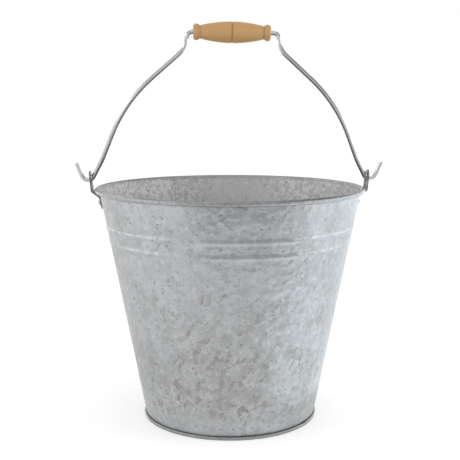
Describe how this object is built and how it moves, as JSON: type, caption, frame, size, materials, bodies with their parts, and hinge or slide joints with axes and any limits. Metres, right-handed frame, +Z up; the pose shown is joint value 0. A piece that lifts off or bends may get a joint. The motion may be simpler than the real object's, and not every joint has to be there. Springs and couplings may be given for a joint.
{
  "type": "feed bucket",
  "caption": "Tapered galvanised metal feed bucket with a wired rim, swaged beads, a double-seamed base, riveted ears and a swinging wire bail with a turned wooden grip.",
  "frame": {"origin": "centre of the bucket's base, on the surface that it stands on", "axes": "+Z up along the bucket's axis; the ears and the bail's hinge lie along X; +Y is the back, where the side seam is"},
  "size_m": [0.3451, 0.3, 0.4403],
  "materials": {
    "zinc_sheet": "hot-dip galvanised, faint spangle, dull",
    "plain_wire": "plain drawn wire",
    "ear_plate": "galvanised plate, dull dark grey",
    "rivets": "zinc-coated rivets",
    "bail_wire": "bright zinc-plated wire",
    "grip_wood": "turned beech, clear oil"
  },
  "bodies": {
    "bucket": {"bucket_wall": "zinc_sheet", "bottom_disc": "zinc_sheet", "rim_wire": "plain_wire", "left_ear": "ear_plate", "right_ear": "ear_plate", "left_front_rivet": "rivets", "left_rear_rivet": "rivets", "right_front_rivet": "rivets", "right_rear_rivet": "rivets"},
    "bail": {"bail_wire": "bail_wire"},
    "grip": {"grip": "grip_wood"}
  },
  "joints": [
    {"name": "bail_swing", "type": "hinge", "parent": "bucket", "child": "bail", "pos_m": [0, 0, 0.2689], "axis": [1, 0, 0], "range_deg": [-91, 91]},
    {"name": "grip_spin", "type": "hinge", "parent": "bail", "child": "grip", "pos_m": [0.00216, 0, 0.42872], "axis": [0.9999, 0, -0.0125], "continuous": true}
  ]
}
